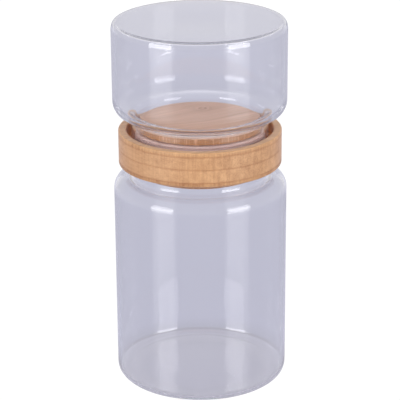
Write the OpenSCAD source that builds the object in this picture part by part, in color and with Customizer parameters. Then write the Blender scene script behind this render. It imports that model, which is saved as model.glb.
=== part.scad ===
// Double storage jar: two clear glass jars that share one double-sided bamboo lid.
// The tall jar stands below, and the short jar stands upside down on the lid.
// All sizes are in millimetres. Z is the common axis, and Z = 0 is the foot of the lower jar.

/* [Jars] */
// Outer diameter of both jars
jar_d = 100; // [85:1:140]
// Height of the lower jar from its foot to its mouth
lower_jar_h = 137.5; // [80:0.5:240]
// Height of the upper jar from its foot to its mouth
upper_jar_h = 69.5; // [50:0.5:160]
// Glass thickness of the straight wall
wall = 1.6; // [1:0.1:3.5]
// Glass thickness of the base
base_t = 1.6; // [1:0.1:5]
// Outer radius between the wall and the foot of the lower jar
lower_heel_r = 6; // [2:0.5:12]
// Outer radius between the wall and the foot of the upper jar
upper_heel_r = 3; // [2:0.5:12]
// Smallest inside radius between the wall and the base
corner_r = 1.5; // [1:0.5:10]
// Diameter of the shallow push-up in each base
punt_d = 72; // [30:1:76]
// Height of the push-up at its centre
punt_rise = 0.8; // [0.5:0.1:4]

/* [Shoulders and necks] */
// Outer radius of the shoulder of the lower jar
lower_shoulder_r = 7; // [6:0.5:20]
// Outer radius of the shoulder of the upper jar
upper_shoulder_r = 10; // [6:0.5:20]
// Glass thickness at the top of the shoulder
shoulder_wall = 2.5; // [1:0.1:5]
// Outer diameter of the neck
neck_od = 79; // [60:1:84]
// Glass thickness of the neck
neck_wall = 2.5; // [1:0.1:3]
// Outer radius of the hollow between shoulder and neck
neck_fillet_r = 3; // [1:0.5:5]
// Height between the shoulder of the lower jar and the rim of the lid
lower_neck_gap = 8.6; // [4:0.1:20]
// Height between the shoulder of the upper jar and the rim of the lid
upper_neck_gap = 7.7; // [4:0.1:20]

/* [Lid] */
// Thickness of one of the four bamboo layers
layer_t = 7.5; // [6:0.1:10]
// Height of the rim above the seam of the outer layer
rim_t = 2.5; // [1.5:0.1:6]
// Width of the rim
rim_w = 4.8; // [3:0.1:10]
// Width of the free gap between the neck and the rim
recess_gap = 2.7; // [0.5:0.1:12]
// Gap between the mouth of a jar and the floor of the recess
seat_gap = 0.3; // [0.1:0.1:1]
// Radial gap between the plug and the inside of the neck
plug_gap = 1.8; // [0.2:0.1:2]
// Thickness of the lip at the end of the plug
lip_t = 4; // [2:0.1:6]
// Height of the full plug between the recess floor and the groove
land_t = 2.5; // [1:0.1:4]
// Rounding of the lid's sanded edges
edge_r = 0.8; // [0.2:0.1:1.2]

/* [Seals] */
// Height of the groove round each plug
groove_h = 5; // [3:0.1:7]
// Depth of the groove
groove_depth = 2.5; // [1.5:0.1:5]
// Gap between the seal and its groove
groove_fit = 0.1; // [0.05:0.05:0.3]
// Gap between the fins of the seal and the glass
fin_fit = 0.1; // [0.05:0.05:0.3]
// How far the fins stand out from the body of the seal
fin_out = 1; // [0.3:0.1:1.4]
// Distance from one fin to the next
fin_pitch = 1.5; // [1.2:0.1:2.5]
// Width of a fin at its foot
fin_foot = 1; // [0.4:0.1:1.1]
// Width of a fin at its tip
fin_tip = 0.4; // [0.1:0.1:1]

/* [Hidden] */
$fn = 128;
// Straight steps in a rounded corner of a section
corner_steps = 12;
// Straight steps in a sanded edge
edge_steps = 5;
// Straight steps in the push-up of a base
punt_steps = 12;

glass_colour = [0.75, 0.76, 0.83, 0.4];
bamboo_colour = [0.84, 0.64, 0.42];
seal_colour = [0.86, 0.80, 0.79];

// Radii of the neck and of the lid that fits round it and in it
neck_r = neck_od / 2;
bore_r = neck_r - neck_wall;
recess_r = neck_r + recess_gap;
lid_r = recess_r + rim_w;
plug_r = bore_r - plug_gap;
groove_r = plug_r - groove_depth;
split_r = (plug_r + recess_r) / 2;

// Heights in the lid, counted from its middle seam
plug_z = 2 * layer_t;
rim_z = layer_t + rim_t;
groove_top = plug_z - lip_t;
groove_bottom = groove_top - groove_h;
floor_z = groove_bottom - land_t;
mouth_z = floor_z + seat_gap;

// Heights in the whole stack
lid_z = lower_jar_h + mouth_z;
total_h = lid_z + mouth_z + upper_jar_h;

// Points along an arc of a section, from angle a0 to angle a1
function arc(centre, r, a0, a1, steps) =
    [for (i = [0 : steps])
        let (a = a0 + (a1 - a0) * i / steps)
        centre + r * [cos(a), sin(a)]];

// Shoulder and neck hollow of one glass surface, from the wall up to the neck.
// top is the height of the shoulder, r and fillet its radii, x the radius of the neck.
function shoulder(centre_x, top, r, x, fillet) =
    let (dx = max(x + fillet - centre_x, 0),
         dz = sqrt(pow(r + fillet, 2) - dx * dx),
         a = atan2(dz, dx))
    concat(arc([centre_x, top - r], r, 0, a, corner_steps),
           arc([x + fillet, top - r + dz], fillet, a + 180, 180, corner_steps));

// Push-up of a base, from the axis out to its edge, where it flows into the flat foot
function punt(z) =
    [for (i = [0 : punt_steps])
        [punt_d / 2 * i / punt_steps, z + punt_rise * (1 + cos(180 * i / punt_steps)) / 2]];

function reversed(points) = [for (i = [len(points) - 1 : -1 : 0]) points[i]];

// Section of a glass jar that stands on its foot at Z = 0
module jar_section(h, heel_r, shoulder_r, neck_gap) {
    jar_r = jar_d / 2;
    shoulder_z = h + mouth_z - rim_z - neck_gap;
    shoulder_x = jar_r - shoulder_r;
    lip_r = neck_wall / 2;
    inner_heel_r = max(corner_r, heel_r - wall);
    outside = concat(
        punt(0),
        arc([jar_r - heel_r, heel_r], heel_r, -90, 0, corner_steps),
        shoulder(shoulder_x, shoulder_z, shoulder_r, neck_r, neck_fillet_r),
        arc([neck_r - lip_r, h - lip_r], lip_r, 0, 180, corner_steps));
    inside = concat(
        punt(base_t),
        arc([jar_r - wall - inner_heel_r, base_t + inner_heel_r], inner_heel_r, -90, 0, corner_steps),
        shoulder(shoulder_x, shoulder_z - shoulder_wall, shoulder_r - wall, bore_r,
                 neck_fillet_r + neck_wall));
    polygon(concat(outside, reversed(inside)));
}

// Section of the upper half of the lid, from its middle seam up
module lid_section() {
    polygon(concat(
        [[0, 0], [lid_r, 0]],
        arc([lid_r - edge_r, rim_z - edge_r], edge_r, 0, 90, edge_steps),
        arc([recess_r + edge_r, rim_z - edge_r], edge_r, 90, 180, edge_steps),
        [[recess_r, floor_z], [plug_r, floor_z]],
        [[plug_r, groove_bottom], [groove_r, groove_bottom]],
        [[groove_r, groove_top], [plug_r, groove_top]],
        arc([plug_r - edge_r, plug_z - edge_r], edge_r, 0, 90, edge_steps),
        [[0, plug_z]]));
}

// Part of the lid between two radii and two heights above its middle seam
module lid_piece(r0, r1, z0, z1) {
    color(bamboo_colour)
        rotate_extrude()
            intersection() {
                lid_section();
                translate([r0, z0]) square([r1 - r0, z1 - z0]);
            }
}

// Section of one fin of a seal at height z, from its foot out to its tip and back
function fin(z, foot_r, tip_r) =
    [[foot_r, z - fin_foot / 2], [tip_r, z - fin_tip / 2],
     [tip_r, z + fin_tip / 2], [foot_r, z + fin_foot / 2]];

// Silicone ring with fins, in the groove above the middle seam of the lid
module seal_ring() {
    z0 = groove_bottom + groove_fit;
    z1 = groove_top - groove_fit;
    inner_r = groove_r + groove_fit;
    outer_r = bore_r - fin_fit;
    body_r = outer_r - fin_out;
    fin_count = floor((z1 - z0) / fin_pitch);
    first_fin_z = (z0 + z1 - (fin_count - 1) * fin_pitch) / 2;
    fins = [for (i = [0 : fin_count - 1]) each fin(first_fin_z + i * fin_pitch, body_r, outer_r)];
    color(seal_colour)
        rotate_extrude()
            polygon(concat([[inner_r, z0], [body_r, z0]], fins, [[body_r, z1], [inner_r, z1]]));
}

// Place a piece of the lid above its middle seam, or mirrored below it
module above_seam() {
    translate([0, 0, lid_z]) children();
}

module below_seam() {
    translate([0, 0, lid_z]) mirror([0, 0, 1]) children();
}

module lower_jar() {
    color(glass_colour)
        rotate_extrude() jar_section(lower_jar_h, lower_heel_r, lower_shoulder_r, lower_neck_gap);
}

module upper_jar() {
    color(glass_colour)
        translate([0, 0, total_h]) mirror([0, 0, 1])
            rotate_extrude() jar_section(upper_jar_h, upper_heel_r, upper_shoulder_r, upper_neck_gap);
}

module lower_seal() {
    below_seam() seal_ring();
}

module upper_seal() {
    above_seam() seal_ring();
}

module lower_plug() {
    below_seam() lid_piece(0, split_r, layer_t, plug_z);
}

module lower_rim() {
    below_seam() lid_piece(split_r, lid_r, layer_t, plug_z);
}

module lower_core() {
    below_seam() lid_piece(0, lid_r, 0, layer_t);
}

module upper_core() {
    above_seam() lid_piece(0, lid_r, 0, layer_t);
}

module upper_rim() {
    above_seam() lid_piece(split_r, lid_r, layer_t, plug_z);
}

module upper_plug() {
    above_seam() lid_piece(0, split_r, layer_t, plug_z);
}

lower_jar();
upper_jar();
lower_seal();
upper_seal();
lower_plug();
lower_rim();
lower_core();
upper_core();
upper_rim();
upper_plug();
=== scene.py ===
import math

import bpy
from mathutils import Matrix


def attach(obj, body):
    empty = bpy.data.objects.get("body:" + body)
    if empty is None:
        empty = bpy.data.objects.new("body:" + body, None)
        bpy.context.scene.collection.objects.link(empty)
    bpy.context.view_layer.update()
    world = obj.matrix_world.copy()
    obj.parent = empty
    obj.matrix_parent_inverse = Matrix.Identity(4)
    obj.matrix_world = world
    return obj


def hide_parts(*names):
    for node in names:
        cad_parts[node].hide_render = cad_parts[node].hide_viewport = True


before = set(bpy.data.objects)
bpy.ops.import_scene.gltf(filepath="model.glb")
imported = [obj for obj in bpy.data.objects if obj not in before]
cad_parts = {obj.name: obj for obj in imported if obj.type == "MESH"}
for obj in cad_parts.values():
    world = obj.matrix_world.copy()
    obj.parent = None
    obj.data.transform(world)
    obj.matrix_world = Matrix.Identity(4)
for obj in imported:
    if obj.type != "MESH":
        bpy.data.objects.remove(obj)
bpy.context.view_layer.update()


# Lower jar: the tall jar, blown from clear heat-proof glass with a rounded foot and shoulder.
# Its mouth is melted round. It stands on its foot ring, and the plug of the lid closes its neck.
# Sizes of the jars, the seals and the lid are in millimetres.
MM = 0.001
JAR_R = 50.0
WALL = 1.6
PUNT_R = 36.0
PUNT_RISE = 0.8
PUNT_STEPS = 32
HEEL_EASE = 0.6
HEEL_LEAD_DEG = 22.0
SHOULDER_EASE = 2.5
LEAST_LEAN_DEG = 60.0
MOST_LEAN_DEG = 100.0
LEAN_TRIES = 40
EASE_STEPS = 7
GLASS_STEP = 0.3
GLASS_SIDES = 384
NECK_R = 39.5
NECK_WALL = 2.5
MOUTH_STEPS = 12
ON_AXIS = 1e-6
LOWER_JAR_H = 137.5
LOWER_HEEL_R = 6.0
LOWER_HEEL_LEAD = 0.0
# A shoulder: the radius of its bend, the radius of the neck hollow, and how high above the foot it starts.
LOWER_SHOULDER = (6.8, 3.0, 116.1)
LOWER_SHOULDER_INSIDE = (6.6, 3.9, 114.9)
GLASS_TINT = (0.96, 0.96, 0.97, 1.0)
GLASS_LIGHT = (0.97, 0.97, 0.98, 1.0)
GLASS_IOR = 1.47
GLASS_DEPTH = 12.0
GLASS_LOSS = (0.0, 0.0, 0.0, 1.0)
# Colour of a painted glow in the body of the glass, which stands in for light seen through it.
GLASS_PAINTED_GLOW = (0.47, 0.47, 0.56, 1.0)
WAVE_STRETCH = (1.0, 1.0, 0.45)
WAVES_PER_METRE = 38.0
WAVE_RELIEF = 0.25
WAVE_HEIGHT = 0.2


def bend(centre_r, centre_z, radius, start_deg, end_deg, steps):
    """Points of a rounded corner of a half section."""
    points = []
    for i in range(steps + 1):
        a = math.radians(start_deg + (end_deg - start_deg) * i / steps)
        points.append((centre_r + radius * math.cos(a), centre_z + radius * math.sin(a)))
    return points


def eased(s, ease, bare_lean):
    """Lean of a bend at the length s, averaged over a stretch so that it starts and ends softly."""
    lean = 0.0
    for k in range(1 - EASE_STEPS, EASE_STEPS):
        lean += bare_lean(s + ease * k / EASE_STEPS) * (EASE_STEPS - abs(k)) / EASE_STEPS ** 2
    return lean


def blown_heel(radius, lead):
    """Outside of the bend from the foot up to the wall: radius, height and lean of each point."""
    slow = math.radians(HEEL_LEAD_DEG) if lead else 0.0
    length = lead + radius * (math.pi / 2.0 - slow)

    def bare_lean(at):
        if at <= 0.0:
            return 0.0
        if at < lead:
            return slow * at / lead
        return min(slow + (at - lead) / radius, math.pi / 2.0)

    points = []
    r = JAR_R
    z = 0.0
    s = -HEEL_EASE
    while s <= length + HEEL_EASE:
        lean = eased(s, HEEL_EASE, bare_lean)
        points.append((r, z, lean))
        r -= GLASS_STEP * math.sin(lean)
        z -= GLASS_STEP * math.cos(lean)
        s += GLASS_STEP
    foot_z = points[-1][1]
    return [(r, z - foot_z, lean) for r, z, lean in points][::-1]


def leaned_shoulder(wall_r, radius, hollow_r, start_z, peak):
    """Points of a shoulder and its neck hollow, which meet at the lean peak, and the radius they reach."""
    length = (radius + hollow_r) * peak

    def bare_lean(at):
        return max(0.0, min(at / radius, (length - at) / hollow_r))

    points = []
    r = wall_r
    z = start_z - SHOULDER_EASE
    s = -SHOULDER_EASE
    while s <= length + SHOULDER_EASE:
        lean = eased(s, SHOULDER_EASE, bare_lean)
        points.append((r, z))
        r -= GLASS_STEP * math.sin(lean)
        z += GLASS_STEP * math.cos(lean)
        s += GLASS_STEP
    return points, r


def blown_shoulder(wall_r, neck_r, radius, hollow_r, start_z):
    """One face of the shoulder and the neck hollow, with the lean that takes it in to the neck."""
    low = math.radians(LEAST_LEAN_DEG)
    high = math.radians(MOST_LEAN_DEG)
    for attempt in range(LEAN_TRIES):
        peak = (low + high) / 2.0
        points, reached_r = leaned_shoulder(wall_r, radius, hollow_r, start_z, peak)
        if reached_r > neck_r:
            low = peak
        else:
            high = peak
    return points


def pushed_up_base(z):
    """Shallow push-up of the base, from the axis out to its edge, where it flows into the foot."""
    points = []
    for i in range(PUNT_STEPS + 1):
        lift = PUNT_RISE * (1.0 + math.cos(math.pi * i / PUNT_STEPS)) / 2.0
        points.append((PUNT_R * i / PUNT_STEPS, z + lift))
    return points


def jar_section(height, heel_r, heel_lead, outer_shoulder, inner_shoulder):
    """Half section of a jar on its foot: outside up to the mouth, and inside back to the axis."""
    lip = NECK_WALL / 2.0
    heel = blown_heel(heel_r, heel_lead)
    outside = pushed_up_base(0.0)
    outside += [(r, z) for r, z, lean in heel]
    outside += blown_shoulder(JAR_R, NECK_R, *outer_shoulder)
    outside += bend(NECK_R - lip, height - lip, lip, 0.0, 180.0, MOUTH_STEPS)
    inside = pushed_up_base(WALL)
    inside += [(r - WALL * math.cos(lean), z + WALL * math.sin(lean)) for r, z, lean in heel]
    inside += blown_shoulder(JAR_R - WALL, NECK_R - NECK_WALL, *inner_shoulder)
    return outside + inside[::-1]


def turned(name, section, sides, closed=False, crisp_deg=None):
    """Spin a half section in millimetres round the axis into a watertight mesh."""
    points = []
    rings = []
    for r, z in section:
        count = 1 if r < ON_AXIS else sides
        ring = []
        for i in range(count):
            a = 2.0 * math.pi * i / sides
            ring.append(len(points))
            points.append((r * MM * math.cos(a), r * MM * math.sin(a), z * MM))
        rings.append(ring)
    pairs = list(zip(rings, rings[1:]))
    if closed:
        pairs.append((rings[-1], rings[0]))
    faces = []
    for low, high in pairs:
        for i in range(sides):
            j = (i + 1) % sides
            if len(low) == 1:
                faces.append((low[0], high[j], high[i]))
            elif len(high) == 1:
                faces.append((low[i], low[j], high[0]))
            else:
                faces.append((low[i], low[j], high[j], high[i]))
    mesh = bpy.data.meshes.new(name)
    mesh.from_pydata(points, [], faces)
    mesh.polygons.foreach_set("use_smooth", [True] * len(mesh.polygons))
    if crisp_deg:
        mesh.set_sharp_from_angle(angle=math.radians(crisp_deg))
    mesh.update()
    piece = bpy.data.objects.new(name, mesh)
    bpy.context.scene.collection.objects.link(piece)
    return piece


def bare_material(name):
    """New material with an empty node tree."""
    material = bpy.data.materials.new(name)
    material.use_nodes = True
    material.node_tree.nodes.clear()
    return material


def clear_glass(name):
    """Clear glass with faint waves from blowing, which lets lamp light through to what is inside; its body
    glows with a painted light.
    """
    material = bare_material(name)
    tree = material.node_tree
    place = tree.nodes.new("ShaderNodeTexCoord")
    stretch = tree.nodes.new("ShaderNodeMapping")
    stretch.inputs["Scale"].default_value = WAVE_STRETCH
    waves = tree.nodes.new("ShaderNodeTexNoise")
    waves.inputs["Scale"].default_value = WAVES_PER_METRE
    waves.inputs["Detail"].default_value = 1.0
    relief = tree.nodes.new("ShaderNodeBump")
    relief.inputs["Strength"].default_value = WAVE_RELIEF
    relief.inputs["Distance"].default_value = WAVE_HEIGHT * MM
    glass = tree.nodes.new("ShaderNodeBsdfPrincipled")
    glass.inputs["Base Color"].default_value = GLASS_TINT
    glass.inputs["Roughness"].default_value = 0.0
    glass.inputs["IOR"].default_value = GLASS_IOR
    glass.inputs["Transmission Weight"].default_value = 1.0
    path = tree.nodes.new("ShaderNodeLightPath")
    body = tree.nodes.new("ShaderNodeVolumeAbsorption")
    body.inputs["Color"].default_value = GLASS_LOSS
    body.inputs["Density"].default_value = GLASS_DEPTH
    # Painted light: the body of the glass glows a pale lavender, which lifts the dark lines that thick
    # glass shows.
    painted_glow = tree.nodes.new("ShaderNodeEmission")
    painted_glow.inputs["Color"].default_value = GLASS_PAINTED_GLOW
    painted_glow.inputs["Strength"].default_value = GLASS_DEPTH
    depth = tree.nodes.new("ShaderNodeAddShader")
    through = tree.nodes.new("ShaderNodeBsdfTransparent")
    through.inputs["Color"].default_value = GLASS_LIGHT
    choose = tree.nodes.new("ShaderNodeMixShader")
    out = tree.nodes.new("ShaderNodeOutputMaterial")
    tree.links.new(place.outputs["Object"], stretch.inputs["Vector"])
    tree.links.new(stretch.outputs["Vector"], waves.inputs["Vector"])
    tree.links.new(waves.outputs["Fac"], relief.inputs["Height"])
    tree.links.new(relief.outputs["Normal"], glass.inputs["Normal"])
    tree.links.new(path.outputs["Is Shadow Ray"], choose.inputs["Fac"])
    tree.links.new(glass.outputs["BSDF"], choose.inputs[1])
    tree.links.new(through.outputs["BSDF"], choose.inputs[2])
    tree.links.new(choose.outputs["Shader"], out.inputs["Surface"])
    tree.links.new(body.outputs["Volume"], depth.inputs[0])
    tree.links.new(painted_glow.outputs["Emission"], depth.inputs[1])
    tree.links.new(depth.outputs["Shader"], out.inputs["Volume"])
    return material


glass_finish = clear_glass("clear_glass")
lower_section = jar_section(
    LOWER_JAR_H, LOWER_HEEL_R, LOWER_HEEL_LEAD, LOWER_SHOULDER, LOWER_SHOULDER_INSIDE)
lower_jar = turned("lower_jar_glass", lower_section, GLASS_SIDES)
lower_jar.data.materials.append(glass_finish)
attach(lower_jar, "lower_jar")
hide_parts("lower_jar")


# Lower seal: a ring of milky silicone with three soft fins, moulded in one piece.
# It is stretched over the plug of the lid into a groove, and its fins press on the glass.
# Heights in the seals and the lid are counted from the middle seam of the lid.
SEAM_Z = 141.3
SEAL_IN_R = 32.8
SEAL_BODY_R = 35.9
SEAL_FIN_R = 36.9
SEAL_BOTTOM = 6.1
SEAL_TOP = 10.4
SEAL_SIDES = 192
SEAL_CRISP_DEG = 50
FIN_PITCH = 1.5
FIN_FOOT = 0.5
FIN_TIP = 0.2
FIN_ROUND_DEG = 75.0
FIN_STEPS = 8
SILICONE_DEEP = (0.84, 0.62, 0.57, 1.0)
SILICONE_PALE = (0.92, 0.70, 0.65, 1.0)
SILICONE_IOR = 1.41
SILICONE_ROUGHNESS = 0.42
SILICONE_CLARITY = 0.3
CLOUDS_PER_METRE = 260.0
CLOUD_DEEP_AT = 0.3
CLOUD_PALE_AT = 0.7
SKIN_PER_METRE = 1800.0
SKIN_RELIEF = 0.15
SKIN_HEIGHT = 0.2


def seal_section():
    """Half section of the ring, counted up from the middle seam of the lid."""
    section = [(SEAL_IN_R, SEAL_BOTTOM), (SEAL_BODY_R, SEAL_BOTTOM)]
    middle = (SEAL_BOTTOM + SEAL_TOP) / 2.0
    for k in (-1, 0, 1):
        z = middle + k * FIN_PITCH
        section.append((SEAL_BODY_R, z - FIN_FOOT))
        section += bend(SEAL_FIN_R - FIN_TIP, z, FIN_TIP, -FIN_ROUND_DEG, FIN_ROUND_DEG, FIN_STEPS)
        section.append((SEAL_BODY_R, z + FIN_FOOT))
    section += [(SEAL_BODY_R, SEAL_TOP), (SEAL_IN_R, SEAL_TOP)]
    return section


def milky_silicone(name):
    """Soft see-through rubber with a faint cloud in it and a dull moulded skin."""
    material = bare_material(name)
    tree = material.node_tree
    place = tree.nodes.new("ShaderNodeTexCoord")
    cloud = tree.nodes.new("ShaderNodeTexNoise")
    cloud.inputs["Scale"].default_value = CLOUDS_PER_METRE
    cloud.inputs["Detail"].default_value = 3.0
    tone = tree.nodes.new("ShaderNodeValToRGB")
    tone.color_ramp.elements[0].position = CLOUD_DEEP_AT
    tone.color_ramp.elements[0].color = SILICONE_DEEP
    tone.color_ramp.elements[1].position = CLOUD_PALE_AT
    tone.color_ramp.elements[1].color = SILICONE_PALE
    skin = tree.nodes.new("ShaderNodeTexNoise")
    skin.inputs["Scale"].default_value = SKIN_PER_METRE
    relief = tree.nodes.new("ShaderNodeBump")
    relief.inputs["Strength"].default_value = SKIN_RELIEF
    relief.inputs["Distance"].default_value = SKIN_HEIGHT * MM
    rubber = tree.nodes.new("ShaderNodeBsdfPrincipled")
    rubber.inputs["Roughness"].default_value = SILICONE_ROUGHNESS
    rubber.inputs["IOR"].default_value = SILICONE_IOR
    rubber.inputs["Transmission Weight"].default_value = SILICONE_CLARITY
    out = tree.nodes.new("ShaderNodeOutputMaterial")
    tree.links.new(place.outputs["Object"], cloud.inputs["Vector"])
    tree.links.new(place.outputs["Object"], skin.inputs["Vector"])
    tree.links.new(cloud.outputs["Fac"], tone.inputs["Fac"])
    tree.links.new(tone.outputs["Color"], rubber.inputs["Base Color"])
    tree.links.new(skin.outputs["Fac"], relief.inputs["Height"])
    tree.links.new(relief.outputs["Normal"], rubber.inputs["Normal"])
    tree.links.new(rubber.outputs["BSDF"], out.inputs["Surface"])
    return material


def above_seam(section):
    """Move a section counted from the middle seam of the lid to its place above it."""
    return [(r, SEAM_Z + z) for r, z in section]


def below_seam(section):
    """Mirror a section counted from the middle seam of the lid to its place below it."""
    return [(r, SEAM_Z - z) for r, z in section][::-1]


seal_finish = milky_silicone("milky_silicone")
lower_seal = turned(
    "lower_seal_ring", below_seam(seal_section()), SEAL_SIDES, closed=True, crisp_deg=SEAL_CRISP_DEG)
lower_seal.data.materials.append(seal_finish)
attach(lower_seal, "lower_seal")
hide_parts("lower_seal")


# Lid: four boards of pressed bamboo strips glued with their grain crosswise and turned on a lathe.
# The outer boards make a plug and a rim on each side, and the inner boards carry the recess floors.
# Its edges are sanded round, a thin glue line shows between the boards, and the recesses carry a painted
# warm shade.
LID_R = 47.0
RECESS_R = 42.2
PLUG_R = 35.2
GROOVE_R = 32.7
BOARD_T = 7.5
PLUG_TOP = 15.0
RIM_TOP = 10.0
GROOVE_TOP = 11.0
GROOVE_BOTTOM = 6.0
RECESS_FLOOR = 3.5
SANDED_R = 0.8
SANDED_STEPS = 8
LIP_EASE = 0.5
GLUE_EASE = 0.12
PLUG_RINGS = 8
BOARD_SIDES = 192
BOARD_CRISP_DEG = 40
OUTER_GRAIN_DEG = 34.0
INNER_GRAIN_DEG = 124.0
# The plugs are bluer than the rims; part of that is a painted reflection of the pale glass over them.
PLUG_BAMBOO = (0.71, 0.41, 0.255, 1.0)
RIM_BAMBOO = (0.75, 0.43, 0.20, 1.0)
CORE_BAMBOO = (0.73, 0.42, 0.205, 1.0)
DEEP_BAMBOO = (0.41, 0.19, 0.075, 1.0)
STRIP_W = 40.0
STRIP_TONE = 0.06
SKIN_SIDE = (0.855, 0.885)
# Steps of the grain per metre, along it, across it and upwards, and how much each deepens the colour.
FINE_GRAIN = (26.0, 1900.0, 1900.0)
BROAD_GRAIN = (7.0, 260.0, 260.0)
GRAIN_CLOUD = (18.0, 55.0, 55.0)
FIBRE_ENDS = (60.0, 1700.0, 1000.0)
FINE_SHARE = 0.80
BROAD_SHARE = 1.00
CLOUD_SHARE = 0.35
FIBRE_SHARE = 0.26
FIBRE_RANGE = (0.50, 0.72)
END_CUT_POWER = 8.0
DEPTH_RANGE = (0.70, 2.00)
DEEPEST = 1.3
# Marks of the lathe tool on the turned edges: steps per metre round and upwards, and their tones.
PLUG_TICKS = 1500.0
RING_TICKS = 1100.0
TICK_RUN = 60.0
TICK_RANGE = (0.35, 0.65)
TICK_TONES = (0.2, 1.8)
# The knot in the upper plug: its place and size, then distances in units of that size, and tones.
KNOT_MM = (1.9, 21.0)
KNOT_SIZE = 4.0
KNOT_WAVER = 1.2
KNOT_TURNS = 7.5
KNOT_CORE = 0.6
KNOT_RINGS_END = 2.2
KNOT_RINGS_TONE = 0.5
KNOT_HALO_END = 5.0
KNOT_HALO_TONE = 0.5
GLUE_TINT = (0.86, 0.81, 0.76, 1.0)
GLUE_LINE = 0.1
GLUE_SOAK = 0.9
# Painted warm shade in the recess between plug and rim, for light bounced between the bamboo walls.
RECESS_PAINTED_SHADE = (1.18, 0.82, 0.45, 1.0)
RECESS_SHADE_EDGE = 0.1
WOOD_RELIEF = 0.2
WOOD_HEIGHT = 0.2
WOOD_SPECULAR = 0.6
WOOD_ROUGHNESS = (0.42, 0.56)
POLISH_RANGE = (0.3, 0.7)
SHEEN = 0.3
SHEEN_ROUGHNESS = 0.4
SHEEN_TINT = (0.9, 0.9, 1.0, 1.0)


def plug_section():
    """Half section of the plug of an outer board, above the middle seam."""
    section = [(0.0, BOARD_T), (GROOVE_R, BOARD_T), (GROOVE_R, GROOVE_TOP)]
    section += bend(PLUG_R - LIP_EASE, GROOVE_TOP + LIP_EASE, LIP_EASE, -90.0, 0.0, SANDED_STEPS)
    section += bend(PLUG_R - SANDED_R, PLUG_TOP - SANDED_R, SANDED_R, 0.0, 90.0, SANDED_STEPS)
    section += [(PLUG_R * k / PLUG_RINGS, PLUG_TOP) for k in range(PLUG_RINGS - 1, -1, -1)]
    return section


def rim_section():
    """Half section of the rim of an outer board, above the middle seam."""
    section = [(RECESS_R, BOARD_T), (LID_R - GLUE_EASE, BOARD_T), (LID_R, BOARD_T + GLUE_EASE)]
    section += bend(LID_R - SANDED_R, RIM_TOP - SANDED_R, SANDED_R, 0.0, 90.0, SANDED_STEPS)
    section += bend(RECESS_R + SANDED_R, RIM_TOP - SANDED_R, SANDED_R, 90.0, 180.0, SANDED_STEPS)
    return section


def core_section():
    """Half section of an inner board with its recess floor, above the middle seam."""
    section = [(0.0, 0.0), (LID_R - GLUE_EASE, 0.0), (LID_R, GLUE_EASE)]
    section += [(LID_R, BOARD_T - GLUE_EASE), (LID_R - GLUE_EASE, BOARD_T)]
    section += [(RECESS_R, BOARD_T), (RECESS_R, RECESS_FLOOR), (PLUG_R, RECESS_FLOOR)]
    section += [(PLUG_R, GROOVE_BOTTOM), (GROOVE_R, GROOVE_BOTTOM), (GROOVE_R, BOARD_T)]
    section += [(0.0, BOARD_T)]
    return section


def feed(tree, value, socket):
    """Set a socket to a number, or link it to another socket."""
    if isinstance(value, (int, float)):
        socket.default_value = value
    else:
        tree.links.new(value, socket)


def maths(tree, operation, first, second=0.5):
    """One sum on two values, each a number or a socket."""
    node = tree.nodes.new("ShaderNodeMath")
    node.operation = operation
    feed(tree, first, node.inputs[0])
    feed(tree, second, node.inputs[1])
    return node.outputs[0]


def spread(tree, value, low, high, to_low, to_high):
    """Map a value from one range to another, held at the ends."""
    node = tree.nodes.new("ShaderNodeMapRange")
    node.inputs["From Min"].default_value = low
    node.inputs["From Max"].default_value = high
    node.inputs["To Min"].default_value = to_low
    node.inputs["To Max"].default_value = to_high
    tree.links.new(value, node.inputs["Value"])
    return node.outputs["Result"]


def tinted(tree, colour, tint, amount):
    """A colour multiplied by a tint as far as the amount says, from none to one."""
    mix = tree.nodes.new("ShaderNodeMix")
    mix.data_type = "RGBA"
    mix.blend_type = "MULTIPLY"
    mix.inputs["B"].default_value = tint
    tree.links.new(colour, mix.inputs["A"])
    feed(tree, amount, mix.inputs["Factor"])
    return mix.outputs["Result"]


def off_axis(tree, place, centre_x, centre_y, unit):
    """Distance of a point from an upright axis, in units of the given length in metres."""
    flat = tree.nodes.new("ShaderNodeMapping")
    flat.inputs["Location"].default_value = (-centre_x / unit, -centre_y / unit, 0.0)
    flat.inputs["Scale"].default_value = (1.0 / unit, 1.0 / unit, 0.0)
    reach = tree.nodes.new("ShaderNodeVectorMath")
    reach.operation = "LENGTH"
    tree.links.new(place.outputs["Object"], flat.inputs["Vector"])
    tree.links.new(flat.outputs["Vector"], reach.inputs[0])
    return reach.outputs["Value"]


def along_grain(tree, vector, kind, grain_deg):
    """A point or a face direction turned so that X runs along the grain."""
    turn = tree.nodes.new("ShaderNodeMapping")
    turn.vector_type = kind
    turn.inputs["Rotation"].default_value = (0.0, 0.0, -math.radians(grain_deg))
    tree.links.new(vector, turn.inputs["Vector"])
    return turn.outputs["Vector"]


def axes_of(tree, vector):
    """The X, Y and Z of a vector."""
    axes = tree.nodes.new("ShaderNodeSeparateXYZ")
    tree.links.new(vector, axes.inputs["Vector"])
    return axes.outputs


def grain_noise(tree, vector, scales, detail):
    """Noise drawn out along one axis; scales are its steps per metre along each axis."""
    squeeze = tree.nodes.new("ShaderNodeMapping")
    squeeze.inputs["Scale"].default_value = scales
    noise = tree.nodes.new("ShaderNodeTexNoise")
    noise.inputs["Scale"].default_value = 1.0
    noise.inputs["Detail"].default_value = detail
    noise.inputs["Roughness"].default_value = 0.6
    tree.links.new(vector, squeeze.inputs["Vector"])
    tree.links.new(squeeze.outputs["Vector"], noise.inputs["Vector"])
    return noise.outputs["Fac"]


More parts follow.
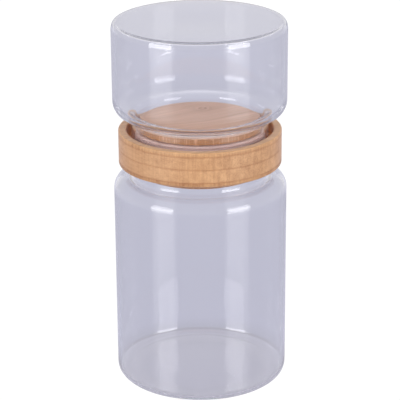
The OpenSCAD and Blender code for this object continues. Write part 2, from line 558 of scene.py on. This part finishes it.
def strip_tones(tree, across, joint_mm, skin):
    """A tone for each pressed strip, and a deeper one for its side next to the skin of the cane."""
    strip = maths(tree, "DIVIDE", maths(tree, "SUBTRACT", across, joint_mm * MM), STRIP_W * MM)
    pick = tree.nodes.new("ShaderNodeTexWhiteNoise")
    pick.noise_dimensions = "1D"
    tree.links.new(maths(tree, "FLOOR", strip), pick.inputs["W"])
    own_tone = spread(tree, pick.outputs["Value"], 0.0, 1.0, -STRIP_TONE, STRIP_TONE)
    skin_tone = spread(tree, maths(tree, "FRACT", strip), *SKIN_SIDE, 0.0, skin)
    return [own_tone, skin_tone]


def knot_tones(tree, place, broad, knot_mm):
    """Rings round a knot of the cane, bent by the broad grain, and a dark halo round them."""
    reach = off_axis(tree, place, knot_mm[0] * MM, knot_mm[1] * MM, KNOT_SIZE * MM)
    far = maths(tree, "ADD", reach, maths(tree, "MULTIPLY", broad, KNOT_WAVER))
    wave = maths(tree, "SINE", maths(tree, "MULTIPLY", far, KNOT_TURNS))
    fade = spread(tree, far, KNOT_CORE, KNOT_RINGS_END, KNOT_RINGS_TONE, 0.0)
    rings = maths(tree, "MULTIPLY", wave, fade)
    halo = maths(tree, "POWER", spread(tree, far, KNOT_CORE, KNOT_HALO_END, 1.0, 0.0), 2.0)
    return [rings, maths(tree, "MULTIPLY", halo, KNOT_HALO_TONE)]


def near_glue(tree, height, seams_mm):
    """One on the glue lines between the boards, and none beyond the wood that they soak."""
    nearest = None
    for z in seams_mm:
        off = maths(tree, "ABSOLUTE", maths(tree, "SUBTRACT", height, z * MM))
        nearest = off if nearest is None else maths(tree, "MINIMUM", nearest, off)
    return spread(tree, nearest, GLUE_LINE * MM, GLUE_SOAK * MM, 1.0, 0.0)


def in_recess(tree, place):
    """One in the recess between plug and rim, and none on the plug and on the top of the rim."""
    radius = off_axis(tree, place, 0.0, 0.0, 1.0)
    beyond_plug = spread(tree, radius, PLUG_R * MM, (PLUG_R + RECESS_SHADE_EDGE) * MM, 0.0, 1.0)
    within_rim = spread(tree, radius, RECESS_R * MM, (RECESS_R + SANDED_R) * MM, 1.0, 0.0)
    return maths(tree, "MULTIPLY", beyond_plug, within_rim)


def bamboo(name, pale, grain_deg, joint_mm, seams_mm, tone, edge_marks_and_shade, ticks, skin, knot_mm):
    """Pressed bamboo: streaks along the grain, dots where it is cut across, and tool marks on its edges,
    which also carry painted shade where the edge value is high.
    """
    material = bare_material(name)
    tree = material.node_tree
    place = tree.nodes.new("ShaderNodeTexCoord")
    point = along_grain(tree, place.outputs["Object"], "POINT", grain_deg)
    axes = axes_of(tree, point)
    face = axes_of(tree, along_grain(tree, place.outputs["Normal"], "NORMAL", grain_deg))
    end_cut = maths(tree, "POWER", maths(tree, "ABSOLUTE", face["X"]), END_CUT_POWER)
    upright = maths(tree, "SUBTRACT", 1.0, maths(tree, "ABSOLUTE", face["Z"]))
    fine = grain_noise(tree, point, FINE_GRAIN, 2.0)
    broad = grain_noise(tree, point, BROAD_GRAIN, 2.0)
    cloud = grain_noise(tree, point, GRAIN_CLOUD, 1.0)
    fibre = grain_noise(tree, point, FIBRE_ENDS, 0.0)
    tool_mark = grain_noise(tree, place.outputs["Object"], (ticks, ticks, TICK_RUN), 1.0)
    fibre_dots = maths(tree, "MULTIPLY", spread(tree, fibre, *FIBRE_RANGE, 0.0, FIBRE_SHARE), end_cut)
    turned_edge = maths(tree, "MULTIPLY", upright, spread(tree, tool_mark, *TICK_RANGE, *TICK_TONES))

    layers = [maths(tree, "MULTIPLY", broad, BROAD_SHARE), maths(tree, "MULTIPLY", cloud, CLOUD_SHARE)]
    layers += strip_tones(tree, axes["Y"], joint_mm, skin)
    # Upright faces are deepened by the tool marks times the edge value; a high edge value is painted
    # shade.
    layers += [fibre_dots, maths(tree, "MULTIPLY", turned_edge, edge_marks_and_shade), tone]
    if knot_mm:
        layers += knot_tones(tree, place, broad, knot_mm)
    deep = maths(tree, "MULTIPLY", fine, FINE_SHARE)
    for layer in layers:
        deep = maths(tree, "ADD", deep, layer)

    mix = tree.nodes.new("ShaderNodeMix")
    mix.data_type = "RGBA"
    mix.clamp_factor = False
    mix.inputs["A"].default_value = pale
    mix.inputs["B"].default_value = DEEP_BAMBOO
    tree.links.new(spread(tree, deep, *DEPTH_RANGE, 0.0, DEEPEST), mix.inputs["Factor"])
    glued = tinted(tree, mix.outputs["Result"], GLUE_TINT, near_glue(tree, axes["Z"], seams_mm))
    # Painted warm shade in the recess between plug and rim.
    recess_shaded = tinted(tree, glued, RECESS_PAINTED_SHADE, in_recess(tree, place))
    relief = tree.nodes.new("ShaderNodeBump")
    relief.inputs["Strength"].default_value = WOOD_RELIEF
    relief.inputs["Distance"].default_value = WOOD_HEIGHT * MM
    tree.links.new(fine, relief.inputs["Height"])
    wood = tree.nodes.new("ShaderNodeBsdfPrincipled")
    wood.inputs["Specular IOR Level"].default_value = WOOD_SPECULAR
    wood.inputs["Sheen Weight"].default_value = SHEEN
    wood.inputs["Sheen Roughness"].default_value = SHEEN_ROUGHNESS
    wood.inputs["Sheen Tint"].default_value = SHEEN_TINT
    tree.links.new(recess_shaded, wood.inputs["Base Color"])
    tree.links.new(spread(tree, fine, *POLISH_RANGE, *WOOD_ROUGHNESS), wood.inputs["Roughness"])
    tree.links.new(relief.outputs["Normal"], wood.inputs["Normal"])
    out = tree.nodes.new("ShaderNodeOutputMaterial")
    tree.links.new(wood.outputs["BSDF"], out.inputs["Surface"])
    return material


outer_seams = (SEAM_Z - BOARD_T, SEAM_Z + BOARD_T)
inner_seams = (SEAM_Z - BOARD_T, SEAM_Z, SEAM_Z + BOARD_T)


def lid_board(node, section, pale, joint_mm, tone, edge_marks_and_shade, ticks, skin, knot_mm=None):
    """Turn one piece of the lid, give it bamboo of its own and fix it to the lid."""
    inner = "core" in node
    name = node + "_bamboo"
    board = turned(name, section, BOARD_SIDES, closed="rim" in node, crisp_deg=BOARD_CRISP_DEG)
    grain_deg = INNER_GRAIN_DEG if inner else OUTER_GRAIN_DEG
    seams_mm = inner_seams if inner else outer_seams
    finish = bamboo(name, pale, grain_deg, joint_mm, seams_mm, tone, edge_marks_and_shade, ticks, skin, knot_mm)
    board.data.materials.append(finish)
    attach(board, "lid")
    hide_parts(node)


# The plugs' high edge value paints shade on their turned sides, which sit inside the necks of the jars,
# over the tool marks.
lid_board("lower_plug", below_seam(plug_section()), PLUG_BAMBOO,
          joint_mm=6.0, tone=0.1, edge_marks_and_shade=2.2, ticks=PLUG_TICKS, skin=0.1)
# The lower rim's deeper tone is partly its own colour and partly painted shade on the underside of the
# lid.
lid_board("lower_rim", below_seam(rim_section()), RIM_BAMBOO,
          joint_mm=6.0, tone=0.22, edge_marks_and_shade=0.2, ticks=RING_TICKS, skin=0.1)
lid_board("lower_core", below_seam(core_section()), CORE_BAMBOO,
          joint_mm=9.6, tone=-0.05, edge_marks_and_shade=0.1, ticks=RING_TICKS, skin=0.08)
lid_board("upper_core", above_seam(core_section()), CORE_BAMBOO,
          joint_mm=14.9, tone=-0.01, edge_marks_and_shade=0.1, ticks=RING_TICKS, skin=0.2)
lid_board("upper_rim", above_seam(rim_section()), RIM_BAMBOO,
          joint_mm=-3.0, tone=-0.05, edge_marks_and_shade=0.2, ticks=RING_TICKS, skin=0.1)
lid_board("upper_plug", above_seam(plug_section()), PLUG_BAMBOO,
          joint_mm=-3.0, tone=0.0, edge_marks_and_shade=2.2, ticks=PLUG_TICKS, skin=0.05, knot_mm=KNOT_MM)


# Upper seal: the same silicone ring, in the groove of the upper plug.
# It holds the neck of the short jar, so that jar can be lifted with the lid.
upper_seal = turned(
    "upper_seal_ring", above_seam(seal_section()), SEAL_SIDES, closed=True, crisp_deg=SEAL_CRISP_DEG)
upper_seal.data.materials.append(seal_finish)
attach(upper_seal, "upper_seal")
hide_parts("upper_seal")


# Upper jar: the short jar of the same glass, which stands upside down on the lid.
# Its base is the flat top of the stack, with a tight corner where it meets the wall.
UPPER_JAR_H = 69.5
UPPER_HEEL_R = 2.6
UPPER_HEEL_LEAD = 3.1
UPPER_SHOULDER = (9.0, 2.6, 45.7)
UPPER_SHOULDER_INSIDE = (8.0, 4.6, 44.6)
TOTAL_H = 214.6

upper_section = jar_section(
    UPPER_JAR_H, UPPER_HEEL_R, UPPER_HEEL_LEAD, UPPER_SHOULDER, UPPER_SHOULDER_INSIDE)
upper_section = [(r, TOTAL_H - z) for r, z in upper_section][::-1]
upper_jar = turned("upper_jar_glass", upper_section, GLASS_SIDES)
upper_jar.data.materials.append(glass_finish)
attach(upper_jar, "upper_jar")
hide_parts("upper_jar")


# Floor: a plain pale table top with a polished face, which shows the lamps in the glass.
# Seen directly it is burnt out to white, as in a product photograph. Seen through the glass
# it has a painted shadow round the foot of the jar and painted dimming to both sides. Its sizes are in
# metres.
FLOOR_HALF = 5.0
FLOOR_Z = -0.0003
TABLE_COLOUR = (0.22, 0.22, 0.25, 1.0)
TABLE_GLOW = (0.303, 0.306, 0.385, 1.0)
TABLE_ROUGHNESS = 0.12
TABLE_SPECULAR = 0.35
TABLE_WHITE = 1.05
LIT_HALF_WIDTH = 0.08
DIM_HALF_WIDTH = 0.15
FLANK_GLOW = 0.86
SHADE_R = 0.08
# Tones of the painted contact shadow on the table under and round the jar.
SHADOW_UNDER_BASE = (0.97, 0.95, 0.93, 1.0)
SHADOW_AT_FOOT_EDGE = (0.93, 0.91, 0.89, 1.0)
SHADOW_UNDER_FOOT = (1.0, 0.98, 0.94, 1.0)
SHADOW_UNDER_HEEL = (0.78, 0.76, 0.73, 1.0)
SHADOW_ROUND_HEEL = (0.90, 0.89, 0.88, 1.0)
OPEN_TABLE = (1.0, 1.0, 1.0, 1.0)
# Where each shade lies between the axis of the jar, at 0, and SHADE_R, at 1.
SHADE_START = (0.35, SHADOW_UNDER_BASE)
SHADE_END = (0.93, OPEN_TABLE)
SHADE_RINGS = (
    (0.41, SHADOW_AT_FOOT_EDGE), (0.48, SHADOW_UNDER_FOOT), (0.66, SHADOW_UNDER_FOOT),
    (0.69, SHADOW_UNDER_HEEL), (0.71, SHADOW_UNDER_HEEL), (0.75, SHADOW_ROUND_HEEL))


def white_to_camera(tree, lit, white, out):
    """Show plain white where the lens sees a surface directly, and its own light everywhere else."""
    path = tree.nodes.new("ShaderNodeLightPath")
    choose = tree.nodes.new("ShaderNodeMixShader")
    tree.links.new(path.outputs["Is Camera Ray"], choose.inputs["Fac"])
    tree.links.new(lit, choose.inputs[1])
    tree.links.new(white, choose.inputs[2])
    tree.links.new(choose.outputs["Shader"], out.inputs["Surface"])


table_mesh = bpy.data.meshes.new("table_top")
corners = []
for x, y in ((-1, -1), (1, -1), (1, 1), (-1, 1)):
    corners.append((x * FLOOR_HALF, y * FLOOR_HALF, FLOOR_Z))
table_mesh.from_pydata(corners, [], [(0, 1, 2, 3)])
table_mesh.update()
table = bpy.data.objects.new("table_top", table_mesh)
bpy.context.scene.collection.objects.link(table)
table_finish = bare_material("table_top")
tree = table_finish.node_tree
table_paint = tree.nodes.new("ShaderNodeBsdfPrincipled")
table_paint.inputs["Roughness"].default_value = TABLE_ROUGHNESS
table_paint.inputs["Specular IOR Level"].default_value = TABLE_SPECULAR
place = tree.nodes.new("ShaderNodeTexCoord")
# Painted dimming: the glow of the table falls off to both sides.
aside = maths(tree, "ABSOLUTE", axes_of(tree, place.outputs["Object"])["X"])
flanks = spread(tree, aside, LIT_HALF_WIDTH, DIM_HALF_WIDTH, 1.0, FLANK_GLOW)
tree.links.new(flanks, table_paint.inputs["Emission Strength"])
# Painted contact shadow round the foot of the jar, seen only through the glass.
shade = tree.nodes.new("ShaderNodeValToRGB")
shade.color_ramp.elements[0].position = SHADE_START[0]
shade.color_ramp.elements[0].color = SHADE_START[1]
shade.color_ramp.elements[1].position = SHADE_END[0]
shade.color_ramp.elements[1].color = SHADE_END[1]
for at, dimmed in SHADE_RINGS:
    shade.color_ramp.elements.new(at).color = dimmed
tree.links.new(off_axis(tree, place, 0.0, 0.0, SHADE_R), shade.inputs["Fac"])
for colour, socket in ((TABLE_COLOUR, "Base Color"), (TABLE_GLOW, "Emission Color")):
    tree.links.new(tinted(tree, shade.outputs["Color"], colour, 1.0), table_paint.inputs[socket])
table_white = tree.nodes.new("ShaderNodeEmission")
table_white.inputs["Strength"].default_value = TABLE_WHITE
table_out = tree.nodes.new("ShaderNodeOutputMaterial")
white_to_camera(tree, table_paint.outputs["BSDF"], table_white.outputs["Emission"], table_out)
table_mesh.materials.append(table_finish)


# Light: two upright softboxes on the floor in front, one to each side, in a pale room.
# The room is a little brighter behind the jar than above it and on the side of the camera.
BOX_DISTANCE = 1.2
BOX_SIDE_DEG = 51.0
BOX_WIDTH = 0.66
BOX_HEIGHT = 0.70
BOX_RADIANCE = 4.8
ROOM_COLOUR = (0.975, 0.967, 1.0, 1.0)
ROOM_WHITE = (1.0, 1.0, 1.0, 1.0)
ROOM_FRONT = 0.68
ROOM_BACK = 0.78
ROOM_TOP = 0.68
TOP_STARTS = 0.3

for side in (-1, 1):
    lamp = bpy.data.lights.new("softbox", "AREA")
    lamp.shape = "RECTANGLE"
    lamp.size = BOX_WIDTH
    lamp.size_y = BOX_HEIGHT
    lamp.energy = BOX_RADIANCE * math.pi * BOX_WIDTH * BOX_HEIGHT
    box = bpy.data.objects.new("softbox", lamp)
    swing = math.radians(BOX_SIDE_DEG) * side
    box.location = (BOX_DISTANCE * math.sin(swing), -BOX_DISTANCE * math.cos(swing), BOX_HEIGHT / 2.0)
    box.rotation_euler = (math.radians(90.0), 0.0, swing)
    box.visible_camera = False
    bpy.context.scene.collection.objects.link(box)

room = bpy.data.worlds.new("pale_room")
room.use_nodes = True
tree = room.node_tree
tree.nodes.clear()
look = tree.nodes.new("ShaderNodeTexCoord")
look_axes = axes_of(tree, look.outputs["Generated"])
level = spread(tree, look_axes["Y"], -1.0, 1.0, ROOM_FRONT, ROOM_BACK)
upward = spread(tree, look_axes["Z"], TOP_STARTS, 1.0, 0.0, 1.0)
toward_top = tree.nodes.new("ShaderNodeMix")
toward_top.inputs["B"].default_value = ROOM_TOP
tree.links.new(upward, toward_top.inputs["Factor"])
tree.links.new(level, toward_top.inputs["A"])
room_light = tree.nodes.new("ShaderNodeBackground")
room_light.inputs["Color"].default_value = ROOM_COLOUR
tree.links.new(toward_top.outputs["Result"], room_light.inputs["Strength"])
room_white = tree.nodes.new("ShaderNodeBackground")
room_white.inputs["Color"].default_value = ROOM_WHITE
room_out = tree.nodes.new("ShaderNodeOutputWorld")
white_to_camera(tree, room_light.outputs["Background"], room_white.outputs["Background"], room_out)
bpy.context.scene.world = room


# Camera: a long lens a little over a metre away, looking down at the jar from the front.
# The pitch, roll and focal length put each edge of the jar where the photograph has it.
PITCH_DEG = 20.3023
ROLL_DEG = -0.3862
DISTANCE = 1.0437743
AIM_Z = 0.106792
FOCAL_PIXELS = 1790.5944
MIDDLE_PIXEL = 200.4425
PICTURE_PIXELS = 400.0
SENSOR = 36.0
GLASS_BOUNCES = 64
GLOSSY_BOUNCES = 40
SHADOW_BOUNCES = 32

pitch = math.radians(PITCH_DEG)
roll = math.radians(ROLL_DEG)
forward = (0.0, math.cos(pitch), -math.sin(pitch))
upright = (0.0, math.sin(pitch), math.cos(pitch))
right = (math.cos(roll), math.sin(roll) * upright[1], math.sin(roll) * upright[2])
top = (-math.sin(roll), math.cos(roll) * upright[1], math.cos(roll) * upright[2])
eye = (0.0, -DISTANCE * forward[1], AIM_Z - DISTANCE * forward[2])
lens = bpy.data.cameras.new("camera")
lens.sensor_fit = "HORIZONTAL"
lens.sensor_width = SENSOR
lens.lens = FOCAL_PIXELS / PICTURE_PIXELS * SENSOR
lens.shift_x = -(MIDDLE_PIXEL - PICTURE_PIXELS / 2.0) / PICTURE_PIXELS
camera = bpy.data.objects.new("camera", lens)
bpy.context.scene.collection.objects.link(camera)
rows = []
for k in range(3):
    rows.append((right[k], top[k], -forward[k], eye[k]))
rows.append((0.0, 0.0, 0.0, 1.0))
camera.matrix_world = Matrix(rows)
scene = bpy.context.scene
scene.camera = camera
scene.view_settings.view_transform = "Standard"
scene.cycles.max_bounces = GLASS_BOUNCES
scene.cycles.transmission_bounces = GLASS_BOUNCES
scene.cycles.glossy_bounces = GLOSSY_BOUNCES
scene.cycles.transparent_max_bounces = SHADOW_BOUNCES
